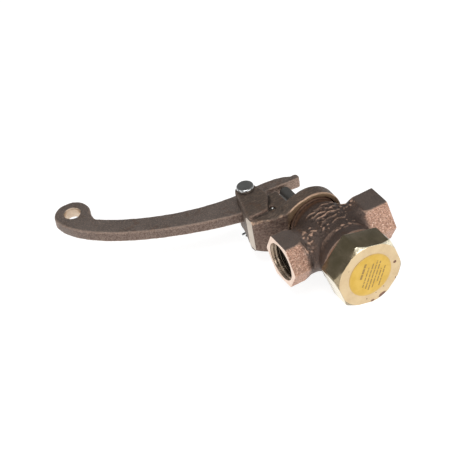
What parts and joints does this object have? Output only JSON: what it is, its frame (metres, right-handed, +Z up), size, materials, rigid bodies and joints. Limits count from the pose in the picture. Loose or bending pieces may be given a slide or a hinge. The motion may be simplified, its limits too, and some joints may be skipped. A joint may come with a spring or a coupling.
{
  "type": "float valve",
  "caption": "In-line float valve with hexagonal pipe ports, a hexagonal cap, a yoke with a fulcrum pin, and a bowed lever that pushes a spring-returned stem.",
  "frame": {"origin": "where the pipe axis through both ports crosses the stem axis", "axes": "+X along the pipe axis to the outlet, +Y along the stem from the cap to the lever, +Z up along the fulcrum pin to its head"},
  "size_m": [0.1436, 0.1502, 0.0396],
  "materials": {
    "cast_bronze": "sand cast, dark brown tarnish, copper pink where it is ground",
    "machined_brass": "turned, dull gold",
    "plated_steel": "dull grey plating",
    "black_rubber": "moulded, matt",
    "graphite_packing": "pressed graphite, matt",
    "fibre_gasket": "pressed fibre, matt",
    "label_paper": "yellow, satin"
  },
  "bodies": {
    "valve": {"valve_body": "cast_bronze", "seat_ring": "machined_brass", "cap": "machined_brass", "cap_gasket": "fibre_gasket", "cap_label": "label_paper", "yoke": "cast_bronze", "yoke_set_screw": "plated_steel", "packing_washer": "machined_brass", "packing_ring_inner": "graphite_packing", "packing_ring_outer": "graphite_packing", "packing_gland": "machined_brass", "yoke_gasket": "fibre_gasket", "return_spring": "plated_steel"},
    "stem": {"stem": "plated_steel", "disc_washer": "machined_brass", "seat_disc": "black_rubber", "disc_holder": "machined_brass", "disc_nut": "machined_brass"},
    "lever": {"lever": "cast_bronze"},
    "fulcrum": {"fulcrum_pin": "plated_steel", "fulcrum_washer": "plated_steel", "cotter_pin": "plated_steel"}
  },
  "joints": [
    {"name": "lever_swing", "type": "hinge", "parent": "valve", "child": "lever", "pos_m": [-0.0218, 0.0496, 0], "axis": [0, 0, -1], "range_deg": [0, 13]},
    {"name": "stem_slide", "type": "slide", "parent": "valve", "child": "stem", "axis": [0, -1, 0], "range_m": [0, 0.0054], "stiffness_N_per_m": 1500, "springref_m": -0.004, "deforming": ["return_spring"]},
    {"name": "pin_turn", "type": "hinge", "parent": "valve", "child": "fulcrum", "pos_m": [-0.0218, 0.0496, 0], "axis": [0, 0, 1], "continuous": true}
  ],
  "couplings": [
    {"joint": "stem_slide", "follows": "lever_swing", "m_per_rad": 0.0232}
  ]
}
